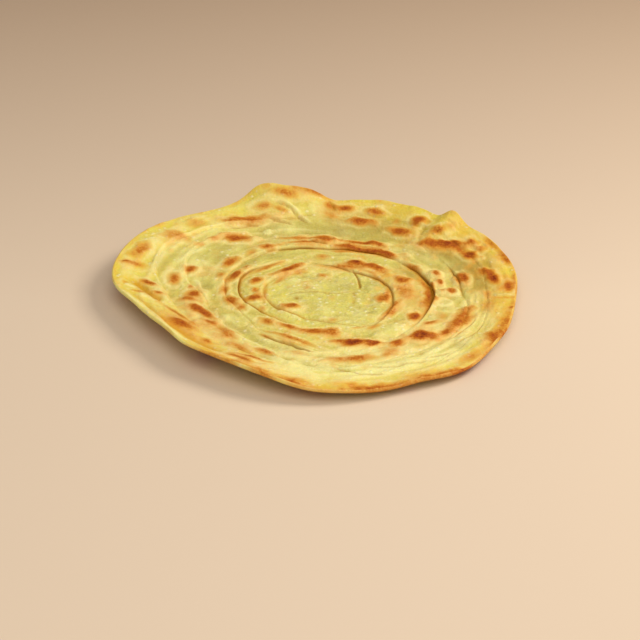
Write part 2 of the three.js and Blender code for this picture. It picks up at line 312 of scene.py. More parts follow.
# where the griddle browned it: x, y, length, width, darkness, and the direction of its length
# in degrees where that isn't along the coil
griddleMarks = (
    # the heart
    (3.5, 22.5, 6, 5, 0.5), (-4.5, 9, 5, 4, 0.3), (-12, -10.5, 8, 6, 0.75, 0), (32.5, -2, 8, 6, 0.65),
    (-13.5, 28.5, 15, 5, 0.8), (-30, 16, 8, 5, 0.75), (-30, 6.5, 5, 4, 0.55), (-30, -2, 6, 8, 0.75),
    (-26, -12.5, 5, 4, 0.35), (8, -23.5, 5, 3, 0.35), (28, -31.5, 9, 3, 0.4), (36.7, -14, 18, 4, 0.6),
    (37.6, -17.5, 12, 3.5, 0.5), (35.5, 2, 16, 2.5, 0.45), (31, 19.5, 14, 2.5, 0.3),
    (-25, 3, 22, 2.5, 0.35), (-18, 17.5, 12, 3, 0.4), (-5, 14.5, 9, 3, 0.2, 20),
    (-24, 32, 20, 3.5, 0.5, 38), (-8, 26.5, 12, 5, 0.35), (20, -32.5, 8, 2.5, 0.35),
    # second winding
    (-40, 21.5, 12, 6, 0.75), (-35, 31.5, 6, 4, 0.45), (-43.5, 36, 12, 6, 0.7), (-45, 7, 8, 4, 0.55),
    (-47.5, 23, 7, 4, 0.5), (-42, -4, 9, 6, 0.7), (-36, -12, 6, 5, 0.55), (-23, -26.5, 8, 5, 0.6),
    (-13, -31, 11, 4, 0.7), (-2, -36, 12, 5, 0.65), (3, -37, 10, 5, 0.4), (7, -34.5, 6, 5, 0.6),
    (8, -38, 8, 6, 0.55), (3.5, 43.5, 8, 6, 0.4), (20.5, 36, 7, 6, 1.0), (33, 26, 13, 6, 0.5),
    (43, 15, 9, 7, 0.7), (44, 5.5, 10, 8, 0.3), (47, 0, 26, 12, 0.3), (41.5, 2, 12, 5, 0.2),
    (41, 17, 16, 9, 0.2), (48.3, -20.5, 6.5, 5, 0.95), (56.3, -0.5, 20, 5, 0.85), (54, 13, 14, 3.5, 0.5),
    (55, -12.5, 12, 2.5, 0.5), (27, 32, 7, 4, 0.4), (23, 32, 20, 5, 0.5, -14),
    (27.5, 24.5, 13, 3, 0.35, -32), (16, 30.5, 28, 3.5, 0.5, -8), (9, 29, 12, 3, 0.25),
    (22, 43, 12, 4, 0.25), (53.5, -6.5, 8, 5, 0.4),
    # third winding, with the browned wall behind the deepest slit
    (49.5, 30, 12, 3.5, 0.55), (55, -28.5, 8, 4, 0.6, 20), (61.5, -21.5, 8, 6, 0.35),
    (60.5, 20.5, 9, 5, 0.65), (62, 11.5, 7, 4, 0.7), (67, 3.5, 6, 5, 0.7), (62.5, 3, 5, 4, 0.4),
    (26, 57, 20, 3.5, 0.75, -8), (33, 54.5, 8, 3.5, 0.6, -25), (25, 53, 26, 3, 0.4, -16),
    (26, 50, 28, 3, 0.8, -20), (37, 44.5, 12, 3.5, 0.7, -38), (50, -41, 9, 8, 1.0),
    (50, -41, 17, 13, 0.35), (55, -42, 6, 5, 0.7), (62, -37, 8, 5, 0.7), (18.5, -47, 10, 6, 0.95),
    (27, -47.5, 10, 5, 0.85), (22, -46.5, 24, 3, 0.5, -3), (-12, -42, 30, 3, 0.55, -33),
    (-12, -46, 18, 2, 0.3, -33), (14, 54.5, 14, 4, 0.5, -5), (14.5, 50.3, 13, 2.5, 0.5, -3),
    (12, -45, 9, 4, 0.6), (-24, -39.5, 8, 3, 0.4), (18.5, -62, 22, 5.5, 0.6), (8, -61.5, 8, 5, 0.35),
    (-8.5, -56.5, 10, 8, 0.3), (-24, -55.5, 12, 4.5, 0.6), (38.5, -47.5, 8, 7, 0.75),
    (35, -55, 10, 8, 0.4), (-24.5, 53, 7, 5, 0.7, 5), (-19, 55.5, 8, 3, 0.3), (-33, 47, 7, 5, 0.4),
    (-8, 62.5, 22, 3, 0.5, 4), (4, 61.5, 11, 5, 0.7, -8), (-6, 58.3, 20, 2.2, 0.6, 2),
    (-5, 55.8, 16, 2.2, 0.35, 2), (14, 59.5, 12, 3, 0.4, -5),
    # left
    (-54.5, -17.5, 20, 6, 0.8, -50), (-60.5, -14.5, 11, 6, 0.42, -42), (-51, -27.5, 8, 4, 0.55, -43),
    (-43.5, -35.5, 18, 7, 0.42, -49), (-53.5, -31, 12, 6, 0.3, -45), (-60, 1.5, 8, 9, 0.75, -8),
    (-62, -5, 12, 5, 0.55, -8), (-62, 8.5, 4, 3, 0.4), (-63, 26.5, 6, 6, 0.7, -19),
    (-70.3, 16, 10, 6, 0.62, -75), (-67.5, -21.5, 20, 2.2, 0.5, -46), (-64.5, -35, 13, 6, 0.6, -52),
    (-65, -33, 30, 14, 0.35, -55), (-95, 23.5, 5, 3, 0.6, 5), (-89.5, 23, 11, 5, 0.5, 8),
    (-83, 7.8, 10, 3.2, 0.75, -27), (-77.5, -1, 6, 2.5, 0.6, -15), (-93.5, 4, 4, 3, 0.4, -10),
    (-87, -4.2, 9, 2.2, 0.5, 0), (-88.4, 35, 17, 7, 0.55, 62), (-71, 54.5, 12, 8, 0.5, 15),
    (-75, 47.5, 13, 8, 0.22), (-62, 68, 12, 8, 0.35, 20), (-59, 51.5, 6, 3, 0.4, 33),
    (-52.5, 58, 7, 3, 0.45, 27), (-41, 60, 13, 6, 0.8, 9),
    # front left
    (-41, -40.5, 9, 5, 0.3), (-43, -48, 46, 12, 0.18, -45), (-51, -50.5, 6, 5, 0.5),
    (-29, -66, 16, 3, 0.6), (-34.5, -70, 16, 7, 0.65), (-11, -88, 16, 6, 0.35), (-36, -78.5, 14, 5, 0.3),
    (-35.5, -52.5, 16, 6, 0.4, -50), (-58, -47, 9, 4, 0.12),
    # right and front right
    (73.5, 14.5, 10, 7, 0.8), (88.4, 12.3, 14, 5.5, 0.95, -68), (84.5, 20, 7, 5, 0.5, -20),
    (95, 4.3, 10, 5, 0.8), (93, -5.5, 15, 1.8, 0.35, 0), (84.5, -2, 7, 4, 0.4),
    (71.5, -22.5, 24, 7.5, 0.62), (66, -31.5, 12, 6, 0.35), (84, -44.5, 8, 6, 0.55),
    (89, -34, 24, 6, 0.45), (92.5, -22, 12, 5, 0.15), (72, -62, 9, 6, 0.4), (84, -12.5, 18, 9, 0.35),
    (85, -48, 10, 5, 0.5), (79, -55, 10, 5, 0.15), (32.5, -89, 22, 6, 0.5), (-33.5, -80, 20, 7, 0.14),
    (-11.5, -92, 12, 4, 0.4), (23, -92.5, 10, 4, 0.3), (62, -76.5, 12, 4, 0.5),
    # back right
    (44, 65.5, 12, 7, 0.8), (53.5, 72, 9, 7, 0.8), (63.5, 60, 10, 6, 0.6, 0), (70.5, 62, 5, 4, 0.3),
    (66, 49.6, 20, 7, 0.75, -14), (69, 49.3, 10, 5, 0.7, -15), (57.5, 51, 14, 7, 0.45, -8),
    (73.5, 43.5, 8, 4, 0.55), (77.8, 37.3, 10, 7, 0.9), (80, 48, 7, 6, 0.65), (84, 40.5, 5, 5, 0.55),
    (90, 45, 14, 4, 0.5), (96, 28.5, 8, 4, 0.45), (23.5, 76.5, 14, 6, 0.75, -12),
    (15.5, 87, 9, 5, 0.75, -9), (31.5, 83, 12, 5, 0.7), (42.5, 75.5, 5, 4, 0.35), (80, 30.5, 6, 5, 0.3),
    # back and its flap
    (-27.5, 86.5, 8, 4, 0.5, 0), (-19, 84, 10, 3.5, 0.45, -29), (-16, 94, 12, 7, 0.5, -15),
    (-19, 80, 14, 5, 0.2, -8), (-45, 73, 11, 5, 0.5, 10), (-33.5, 76.5, 20, 5, 0.6, 5),
    (-38, 75.5, 28, 8, 0.15, 6), (8, 89, 6, 5, 0.6, -20), (-1.5, 96.5, 16, 4, 0.5, -12),
    (8, 83, 7, 4, 0.35),
)

# blisters that stand up without much browning: x, y, width, height
blisters = (
    (60.5, 20.5, 9, 1.2), (61.5, 11.5, 7, 1.2), (67.5, 3, 9, 1.3), (62, 2.5, 6, 1.0), (74, 13.5, 11, 1.2),
    (62.5, -8, 9, 0.9), (57, 12, 4, 0.7), (-66, 18, 3, 0.6), (-35, 8, 5, 0.4), (12, 13, 7, 0.4),
    (22, -14.5, 8, 0.4), (28, 11, 7, 0.4), (-12, 18.5, 6, 0.4), (-10, 4.5, 8, 0.4), (5, -13.5, 9, 0.4),
    (13, -21, 5, 0.4), (40, -30.5, 8, 0.5), (30, -40, 7, 0.5), (52, 10, 5, 0.5), (-25, 68, 4, 1.0),
    (-21, 64, 3, 0.7), (-30, 60.5, 5, 0.9), (17, 67, 8, 0.6), (30, 57, 6, 0.4), (48, 43.5, 7, 0.5),
    (-55, 33.5, 6, 0.5), (-72, 43.5, 8, 0.5), (-52, 64.5, 7, 0.5), (-81.5, 45, 9, 0.5),
    (-44, -21.5, 7, 0.6), (-30, -31, 6, 0.6), (-55, -40.5, 7, 0.6), (-10, -69, 9, 0.6),
    (6, -67.5, 10, 0.6), (44, -68.5, 8, 0.5), (70, -46, 7, 0.6), (82, -24, 7, 0.5), (76, 1.5, 7, 0.6),
    (80, 12, 5, 0.5), (36, 70.5, 8, 0.5), (0, 86, 9, 0.6), (62, 40.5, 8, 0.5), (89.5, 27, 7, 0.5),
    (-92, 13.5, 7, 0.5),
)

# where the butter soaked through and the dough looks darker: x, y, length, width, strength
soakedPatches = (
    (80, 18, 54, 18, 1.0), (88, 0, 26, 15, 0.6), (65, 43, 24, 15, 0.95), (60, 33, 24, 9, 0.35),
    (54, -3, 26, 10, 0.45), (67, -5, 18, 9, 0.3), (62, -26, 18, 8, 0.25), (86, -24, 20, 8, 0.25),
    (14, 70, 30, 16, 0.6), (35, 72, 44, 24, 0.6), (10, 80, 18, 10, 0.8), (7.5, 86, 14, 11, 0.8),
    (52, 45.5, 18, 9, 0.6), (5, -71, 16, 6, 0.3), (48.5, 22, 18, 8, 0.8), (10, 32.5, 18, 5, 0.4),
    (71, -47.5, 15, 6, 0.5), (86, 36, 18, 10, 0.35), (32, 60, 22, 10, 0.2), (20, 34, 34, 8, 0.3),
    (38, 88, 22, 8, 0.25), (-18, 61, 40, 11, 0.35), (-22, 70, 20, 9, 0.25), (-64, 45, 30, 14, 0.2),
    (-78, 29, 24, 10, 0.35), (-78, 7.5, 16, 9, 0.3), (-49, 28.5, 14, 8, 0.35), (-60, -3, 16, 10, 0.2),
    (-21, 22, 14, 8, 0.3), (-34, 37, 22, 10, 0.15), (-33, 11, 14, 9, 0.2), (45, -47, 16, 8, 0.2),
    (18, 10, 26, 16, 0.15), (-9, -38.5, 14, 6, 0.2),
)

# the cross sections of slits, folds and ridges, in millimetres unless a line says otherwise
foldShape = {
    "slitWander": ((0.6, 19), (0.35, 47)),  # how far slits wander and how many times round
    "mostOpen": 1.1,
    "gapRange": (0.2, 3), "gapPower": 1.8,  # the power is how square it is
    "bankRange": (0.4, 5), "bankPower": 1.6, "softBank": 0.5,  # the last is added where a slit is closed
    "nearSink": 0.75, "farSink": 0.25, "farReach": 2.5,  # shares of the depth over the gap and further in
    "trench": 0.4,
    "lipRise": 0.4, "lipAt": 1.3, "lipHalf": 0.9,
    "openLip": 0.3, "closedLip": 0.6,  # share of the lip where a slit is open and where it is closed
    "outerTuck": 0.3, "innerTuck": 0.9,  # how far from the gap the windings are pulled over it
    # the slits' painted shade: its half width outside the gap, and beyond the gap inside
    "outerShade": 0.6, "innerShade": 0.2,  # half width of the dark outside the gap, and beyond it inside
    # amber painted shade beside an open slit
    "slitShade": 0.9, "slitShadeReach": 1.0,  # the amber beside an open slit, and its reach beyond the gap
    "foldWander": 0.7, "amberReach": 1.5,  # shares of a fold's half width
    # painted shade in a fold's groove
    "foldShade": 1.2,  # darkness for each millimetre of depth
    "stepReach": 5,
    "foldEnds": 0.22, "ridgeEnds": 0.2,  # shares of the length that taper off
}

# the cross sections of a browned mark and a blister, in shares of half their size from the middle
markShape = {
    "sharp": 1.3, "darkSharp": 1.6,  # how sharply a faint mark's brown ends, and what a dark one adds
    "halo": 0.85, "haloReach": 1.6,
    "flank": 1.2, "flankAt": 1.55, "flankHalf": 0.33,  # the pale ring beyond the brown
    "rise": 0.17, "widest": 6, "riseReach": 1.4,  # height for each millimetre of width, up to a width
    "blisterRagged": 0.7,
    "dome": 3, "tallDome": 2,  # how square a blister is, and what a millimetre of height adds
    # on a tall blister the ring is a painted highlight and the crease a painted shadow
    "ring": 2, "ringOver": 0.5, "ringAt": 0.75, "ringHalf": 0.25,  # pale, on a blister over 0.5 mm
    "crease": 0.5, "creaseOver": 0.7, "creaseAt": 1.15, "creaseHalf": 0.12,  # round a blister over 0.7 mm
    "highest": 1.4,
}

# noise in the dough: amount, cell in millimetres and seed of each layer, and, where it is drawn out along
# the coil, how many cells go round
unevenness = {
    "surface": ((0.35, 10, 11), (0.16, 4, 12), (0.06, 1.9, 13)),
    "wrinkles": ((0.34, 3.2, 14, 26), (0.2, 1.5, 15, 50)),
    "liftedEdge": ((0.5, 17, 3),),
    "foldLine": ((1, 4, 41),),
    "ridgeLine": ((0.5, 6, 42),),
    "markOutline": ((0.26, 4.5, 7), (0.11, 1.9, 8)),
    "soakedOutline": ((0.25, 7, 58),),
    "coilGold": ((0.1, 9, 51, 14),),
    "gold": ((0.1, 7, 52),),
    "cream": ((0.8, 2.4, 57, 30),),
    "rimToast": ((0.6, 8, 53),),
    "rimBrown": ((0.5, 2.5, 56),),
    "rimLine": ((0.5, 5, 59),),
    "smudges": ((1, 6, 54), (0.6, 2.8, 55)),
    "edgeToast": ((0.2, 9, 21),),
    "undersideToast": ((1, 15, 31), (0.55, 9, 32)),
}


grainTurn, grainCorner = 0.7, (31.7, 23.1)  # radians for each seed, and cells in from the corner


def grain(x, y, name):
    # sum of amount * lattice noise over the named layers: each is turned by seed * grainTurn and set in from
    # the corner of its grid, or it has its cells along the radius from the heart and round it
    hx, hy = breadForm["heart"]
    total = 0
    for amount, cell, seed, *cellsRound in unevenness[name]:
        if cellsRound:
            u = np.hypot(x - hx, y - hy) / cell
            v = (np.arctan2(y - hy, x - hx) / (2 * math.pi) + 0.5) * cellsRound[0]
        else:
            lean = seed * grainTurn
            u = (x * math.cos(lean) + y * math.sin(lean)) / cell + grainCorner[0]
            v = (y * math.cos(lean) - x * math.sin(lean)) / cell + grainCorner[1]
        total = total + amount * lattice(u, v, seed, *cellsRound)
    return total


def ovalDistance(x, y, px, py, length, width, direction=()):
    # hypot(along / half the length, across / half the width), so 1 at the oval's edge; its length lies
    # along the coil unless a direction is given
    hx, hy = breadForm["heart"]
    out = math.radians(direction[0] - 90) if direction else math.atan2(py - hy, px - hx)
    dx, dy = x - px, y - py
    across = dx * math.cos(out) + dy * math.sin(out)
    along = dy * math.cos(out) - dx * math.sin(out)
    return np.hypot(along / (0.5 * length), across / (0.5 * width))


def rimAt(turn):
    # reach and lift: the even sweep, plus waves amount * sin(count * turn + start), plus each flap's share
    # exp(-|off / spread| ** squareness)
    reach, lift = around(breadForm["rimReach"], turn), around(breadForm["rimLift"], turn)
    for out, up, count, start in breadForm["waves"]:
        reach = reach + out * np.sin(count * turn + start)
        lift = lift + up * np.sin(count * turn + start)
    for at, before, after, out, up, power in breadForm["flaps"]:
        off = (np.degrees(turn) - at + 180) % 360 - 180
        share = bell(np.abs(off), np.where(off < 0, before, after), power)
        reach = reach + out * share
        lift = lift + up * share
    return reach, lift


def sheetAt(x, y):
    # underside height (lift + thickness lost) * ((share - flat) / (1 - flat)) ** curl, the thickness, which
    # falls from the middle's to the rim's with share ** thinning, and that share of the way out
    form = breadForm
    turn = np.arctan2(y, x) % (2 * math.pi)
    reach, lift = rimAt(turn)
    share = np.hypot(x, y) / reach
    bent = np.clip((share - form["flatShare"]) / (1 - form["flatShare"]), 0, None)
    lost = form["middleThickness"] - form["rimThickness"]
    rise = (lift + lost) * bent ** around(form["curl"], turn)
    rise = rise + grain(x, y, "liftedEdge") * smooth(*form["unevenReach"], share)
    thickness = form["middleThickness"] - lost * np.minimum(1, share) ** form["thinning"]
    return np.maximum(rise, 0), thickness, share


def slitPoints(slit, turn):
    # the slit's line round the heart, which wanders by a few tenths of a millimetre as dough does
    share = turn / (2 * math.pi)
    row = np.full(turn.shape, 0.5)
    waves = foldShape["slitWander"]
    wander = sum(amount * lattice(row, share * count, slit["seed"], count) for amount, count in waves)
    radius = around(slit["radius"], turn) + wander
    hx, hy = breadForm["heart"]
    return np.stack([hx + radius * np.cos(turn), hy + radius * np.sin(turn)], -1)


def windingPatch(turn, inner, outer, shares):
    # one winding, u of the way from line to line and v from a slit. Outside a slit a bank rises by
    # step * (1 - u)^2 * (1 - exp(-(v / bank)^p)) with a low lip on it, more softly where the slit is closed,
    # out of a trench depth * exp(-(v / trench)^2). Inside the next one the winding sinks by
    # depth * (near * exp(-(v / gap)^p) + far * exp(-v / reach)). Both are pulled sideways over the gap
    shape = foldShape
    start = slitPoints(inner, turn) if inner else np.broadcast_to(breadForm["heart"], (len(turn), 2))
    if outer:
        end = slitPoints(outer, turn)
    else:
        reach = rimAt(turn)[0] - 0.5 * breadForm["rimThickness"]
        end = np.stack([reach * np.cos(turn), reach * np.sin(turn)], -1)
    width = np.hypot(*(end - start).T)[:, None]
    u = shares[None, :]
    bulge = breadForm["swell"] * np.sin(math.pi * u) ** breadForm["fullness"]
    height = bulge + np.zeros(width.shape)
    pull, cleftShade, lip, slitShade = (np.zeros(height.shape) for _ in range(4))
    if inner:
        v = u * width
        openness = np.clip(around(inner["open"], turn), 0, shape["mostOpen"])[:, None]
        closed = np.maximum(np.clip(around(inner["soft"], turn), 0, 1)[:, None] - openness, 0)
        roll = inner["step"] * (1 - u) ** 2
        bank = np.clip(around(inner["bank"], turn), *shape["bankRange"])[:, None]
        trench = inner["depth"] * bell(v, shape["trench"])
        height += openness * (roll * (1 - bell(v, bank, shape["bankPower"])) - trench)
        height += closed * roll * (1 - bell(v, bank + shape["softBank"]))
        lip = shape["openLip"] * openness + shape["closedLip"] * closed
        lip = lip * bell(v - shape["lipAt"], shape["lipHalf"])
        height += shape["lipRise"] * lip
        pull += openness * inner["under"] * bell(v, shape["outerTuck"])
        # painted shade on the outer winding along the open slit
        cleftShade = openness * bell(v, shape["outerShade"])
    if outer:
        v = (1 - u) * width
        openness = np.clip(around(outer["open"], turn), 0, shape["mostOpen"])[:, None]
        gap = np.clip(around(outer["gap"], turn), *shape["gapRange"])[:, None]
        near = shape["nearSink"] * bell(v, gap, shape["gapPower"])
        far = shape["farSink"] * bell(v, shape["farReach"], 1)
        height -= openness * outer["depth"] * (near + far)
        pull += openness * outer["under"] * bell(v, shape["innerTuck"])
        # painted shade on the inner winding where it sinks into the gap
        cleftShade = np.maximum(cleftShade, openness * bell(v, gap + shape["innerShade"]))
        # amber painted shade on the sinking slope beside the open slit
        slitShade = shape["slitShade"] * openness * bell(v, gap + shape["slitShadeReach"])
    ahead = (end - start) / width
    at = start[:, None, :] + (end - start)[:, None, :] * u[..., None] + ahead[:, None, :] * pull[..., None]
    return at, height, cleftShade, lip, slitShade


def allWindings(turn):
    # the patches side by side from the heart to the rim, closer together at the slits, as
    # 0.5 * (1 - cos(pi * u)), and with each one's number
    size = breadMesh
    quarter = np.sin(0.5 * math.pi * np.arange(1, size["heartLines"]) / size["heartLines"])
    even = np.arange(size["windingLines"]) / size["windingLines"]
    half = 0.5 * (1 - np.cos(math.pi * even))
    parts = [windingPatch(turn, None, slits[0], quarter)]
    for inner, outer in zip(slits[:-1], slits[1:]):
        parts.append(windingPatch(turn, inner, outer, half))
    parts.append(windingPatch(turn, slits[-1], None, np.append(half, 1.0)))
    number = np.concatenate([np.full(part[1].shape, i) for i, part in enumerate(parts)], 1)
    return [np.concatenate(same, 1) for same in zip(*parts)] + [number]


def foldRelief(x, y):
    # a fold is a groove -depth * exp(-(d / half)^2) with a step beside it that fades with exp(-d / reach),
    # and, where no butter pooled in it, painted shade along the groove that is darker the deeper it is; a
    # ridge is rise * exp(-(d / half)^2) with a painted highlight along it, and all taper off towards their
    # ends
    shape = foldShape
    height, cleftShade, amber, paleAndHighlight = (np.zeros(x.shape) for _ in range(4))
    foldLine = grain(x, y, "foldLine")
    for points, depth, step, half, pooled in folds:
        wander = shape["foldWander"] * half * foldLine
        away, side, along = alongLine(x + wander, y - wander, points)
        taper = taperedEnds(along, shape["foldEnds"])
        height -= taper * depth * bell(away, half)
        lifted = np.where(side * np.sign(step) > 0, 1 - bell(away, half), 0)
        height += taper * abs(step) * lifted * bell(away, shape["stepReach"], 1)
        amber = np.maximum(amber, pooled * taper * bell(away, shape["amberReach"] * half))
        if not pooled:
            # painted shade along a groove without pooled butter, darker the deeper it is
            cleftShade = np.maximum(cleftShade, taper * min(1, shape["foldShade"] * depth) * bell(away, half))
    wander = grain(x, y, "ridgeLine")
    for points, rise, half, pale in ridges:
        away, _, along = alongLine(x + wander, y - wander, points)
        swell = taperedEnds(along, shape["ridgeEnds"]) * bell(away, half)
        height += rise * swell
        paleAndHighlight = np.maximum(paleAndHighlight, pale * swell)
    return height, cleftShade, amber, paleAndHighlight


def browning(x, y):
    # with e the distance in an oval, made ragged: a mark browns by darkness * exp(-e^p), has an orange halo
    # exp(-(e / reach)^2) and a pale flank exp(-((e - at) / half)^2), and stands up by exp(-(e / reach)^4).
    # A blister stands up by height * exp(-e^p) with a painted highlight on top, and a tall one has a painted
    # highlight ring and a painted shadow crease round its foot
    shape = markShape
    clear, haloClear = np.ones(x.shape), np.ones(x.shape)
    flank, rise, crease = (np.zeros(x.shape) for _ in range(3))
    ragged = grain(x, y, "markOutline")
    for px, py, length, width, dark, *direction in griddleMarks:
        e = ovalDistance(x, y, px, py, length, width, direction) * (1 + ragged)
        clear *= 1 - dark * bell(e, 1, shape["sharp"] + shape["darkSharp"] * dark)
        haloClear *= 1 - shape["halo"] * dark * bell(e, shape["haloReach"])
        flank = np.maximum(flank, shape["flank"] * dark * bell(e - shape["flankAt"], shape["flankHalf"]))
        tall = shape["rise"] * min(width, shape["widest"]) * dark
        rise += tall * bell(e, shape["riseReach"], 4)
    for px, py, width, height in blisters:
        e = ovalDistance(x, y, px, py, width, width) * (1 + shape["blisterRagged"] * ragged)
        rise += height * bell(e, 1, shape["dome"] + shape["tallDome"] * height)
        # painted highlight on the blister's top and, when it is tall, a painted highlight ring
        ring = max(0, shape["ring"] * (height - shape["ringOver"]))
        ring *= bell(e - shape["ringAt"], shape["ringHalf"])
        flank = np.maximum(flank, ring + height * bell(e, 1))
        # painted shadow crease round the foot of a tall blister
        dark = shape["crease"] * (height - shape["creaseOver"])
        crease = np.maximum(crease, dark * bell(e - shape["creaseAt"], shape["creaseHalf"]))
    return 1 - clear, 1 - haloClear, flank, np.minimum(rise, shape["highest"]), crease


# the finish: how golden each winding is from the heart outwards, and then, round the bread from +X, how
# golden it is, how toasted the rim, how brown a line just inside the edge and the edge itself, and how
# creamy the outer windings. A reach is where its name comes in, none and all of it, on the way out
breadTone = {
    "windings": (0.3, 0.3, 0.2, 0.05, 0.2, 1.0),
    "golden": (0.55, 0.65, 0.6, 0.35, 0.3, 0.4, 0.5, 0.6, 0.65, 0.4, 0.25, 0.4),
    "rimToast": (0.5, 0.35, 0.2, 0.4, 0.15, 0.15, 0.05, 0.1, 0.5, 0.7, 0.65, 0.35),
    "rimLine": (0.15, 0.05, 0, 0, 0.12, 0.15, 0.1, 0, 0.05, 0.08, 0, 0.05),
    "edge": (0.35, 0.25, 0.15, 0.15, 0.15, 0.2, 0.15, 0.12, 0.3, 0.45, 0.6, 0.45),
    "cream": (0.1, 0, 0, 0.15, 0.15, 0.25, 0.35, 0.3, 0.4, 0.6, 0.65, 0.5),
    "goldenReach": (0.6, 0.9),
    "rimToastReach": (0.8, 0.98),
    "rimBrownReach": (0.88, 1.0),
    "rimLineReach": (0.968, 0.985),
    "creamReach": (0.5, 0.62),
    "creamEnds": (0.97, 0.9),
    # the even part of a ragged pattern, to which its noise is added
    "toastEven": 0.75,
    "raggedEven": 0.9,
    # faint brown smudges: the noise they come in at, the most of it, its share, and that in the brown
    "smudgeFrom": 0.6, "smudgeMost": 0.6, "smudgeShare": 0.6, "smudgeBrown": 0.25,
    "rimHalo": 0.8, "rimBrown": 0.6,  # how orange and how brown a wholly toasted rim is
    # the last raises the gold on high points and lowers it in hollows: painted light and shade
    "windingGold": 0.75, "rimGold": 0.25, "heightShading": 0.25,  # what the gold is made of
    "goldenLeast": 0.3, "goldenSpan": 0.85,
    # painted highlights on lips and on high points
    "lipHighlight": 1.2, "highPointHighlight": 0.8,  # how pale lips and high points are
    "flankSoaked": 0.7,  # how far butter hides a pale flank
    "flankDry": 0.9, "mostDry": 0.6,  # and how far a flank keeps butter off
    # small bubbles: everywhere, and how many more in the heart, in front and behind, with where in
    # millimetres none and all of these come in
    "bubbles": 0.25,
    "moreBubbles": ((0.75, 36, 28), (0.35, 10, -40), (-0.15, 30, 60)),
    # the edge: its halo for each share of toast, and its least and its span of painted light and of gold; the
    # painted light makes the shaded edge paler
    "edgeHalo": 0.8, "edgePaintedLight": (0.55, 0.4), "edgeGolden": (0.25, 0.8), "edgeBubbles": 0.2,
    # the underside: the noise where its patches begin and are full, how brown they are, and the rest
    "undersidePatches": (0.2, 1.0),
    "undersideToast": 0.75,
    "undersideEven": {"golden": 0.4, "bubbles": 0.3, "soaked": 0.1},
}


def soakedAt(x, y):
    # the strongest of strength * exp(-e^2), with e the distance in each patch's ragged oval
    soaked = np.zeros(x.shape)
    ragged = grain(x, y, "soakedOutline")
    for px, py, length, width, strength in soakedPatches:
        e = ovalDistance(x, y, px, py, length, width) * (1 + ragged)
        soaked = np.maximum(soaked, strength * bell(e, 1))
    return soaked


def topFace(turn):
    # sheet, thickness and relief added up, and what the finish needs of them
    at, height, cleftShade, lip, slitShade, number = allWindings(turn)
    x, y = at[..., 0], at[..., 1]
    hx, hy = breadForm["heart"]
    rise, thickness, share = sheetAt(x, y)
    foldHeight, foldCleftShade, amber, paleAndHighlight = foldRelief(x, y)
    toast, halo, flank, blister, crease = browning(x, y)
    fromHeart = np.hypot(x - hx, y - hy)
    wrinkles = grain(x, y, "wrinkles") * smooth(*breadForm["smoothHeart"], fromHeart)
    surface = grain(x, y, "surface")
    left = breadForm["rimRelief"]
    inside = left + (1 - left) * smooth(*breadForm["rimReliefReach"], share)
    relief = (height + foldHeight + blister + wrinkles) * inside + surface
    face = np.stack([x, y, rise + np.maximum(thickness + relief, breadForm["thinnest"])], -1)
    made = {
        "toast": toast, "halo": halo, "flank": flank, "uneven": wrinkles + surface, "winding": number,
        # painted highlights on lips, painted shade in slits, folds and round blisters, and amber that is
        # butter pooled in folds and painted shade beside open slits
        "paleAndHighlight": np.maximum(paleAndHighlight, breadTone["lipHighlight"] * lip),
        "cleftShade": np.maximum(np.maximum(cleftShade, foldCleftShade), crease),
        "amber": np.maximum(amber, slitShade),
        "share": share, "fromHeart": fromHeart,
    }
    return face, topFinish(x, y, made)


def topFinish(x, y, made):
    # brown and orange lie over each other as 1 - (1 - a) * (1 - b): the marks, a rim toasted in patches
    # and browner at its edge, and smudges. The pale layer is the marks' pale flanks and painted highlights on
    # blisters, ridges, lips and high points, plus cream; gold is each winding's with more at the rim, raised
    # on high points and lowered in hollows as painted light and shade; and small bubbles crowd in the heart
    # and in front
    tone, share, uneven = breadTone, made["share"], made["uneven"]
    place = np.arctan2(y, x) % (2 * math.pi)
    soaked = soakedAt(x, y)
    flank = made["flank"] * (1 - tone["flankSoaked"] * soaked)
    ragged = tone["raggedEven"]
    rimToast = around(tone["rimToast"], place) * (tone["toastEven"] + grain(x, y, "rimToast"))
    smudges = np.clip(grain(x, y, "smudges") - tone["smudgeFrom"], 0, tone["smudgeMost"])
    smudges = tone["smudgeShare"] * smudges
    faint = tone["rimHalo"] * rimToast * smooth(*tone["rimToastReach"], share)
    faint = np.clip(faint + smudges, 0, 1)
    band = rimToast * smooth(*tone["rimBrownReach"], share) * (ragged + grain(x, y, "rimBrown"))
    line = around(tone["rimLine"], place) * smooth(*tone["rimLineReach"], share)
    line *= ragged + grain(x, y, "rimLine")
    brown = np.clip(tone["rimBrown"] * band + tone["smudgeBrown"] * smudges + line, 0, 1)
    cream = around(tone["cream"], place) * smooth(*tone["creamReach"], share)
    cream *= smooth(*tone["creamEnds"], share) * (ragged + grain(x, y, "cream"))
    winding = np.array(tone["windings"])[made["winding"]]
    rimGold = tone["rimGold"] * smooth(*tone["goldenReach"], share)
    golden = around(tone["golden"], place) * (tone["windingGold"] * winding + rimGold)
    # painted light and shade: more gold on high points, less in hollows
    golden = golden + grain(x, y, "coilGold") + grain(x, y, "gold") + tone["heightShading"] * uneven
    bubbles = tone["bubbles"]
    for (more, none, full), where in zip(tone["moreBubbles"], (made["fromHeart"], y, y)):
        bubbles = bubbles + more * smooth(none, full, where)
    return {
        "toast": 1 - (1 - made["toast"]) * (1 - brown),
        "halo": 1 - (1 - made["halo"]) * (1 - faint),
        "cleftShade": made["cleftShade"],
        # the marks' pale flanks, painted highlights on blisters, ridges, lips and high points, and cream
        "paleAndHighlight": np.maximum(flank, made["paleAndHighlight"]) + tone["highPointHighlight"] * uneven + cream,
        "golden": tone["goldenLeast"] + tone["goldenSpan"] * golden,
        "bubbles": bubbles,
        "soaked": soaked * (1 - np.clip(tone["flankDry"] * flank, 0, tone["mostDry"])),
        "amber": made["amber"],
    }


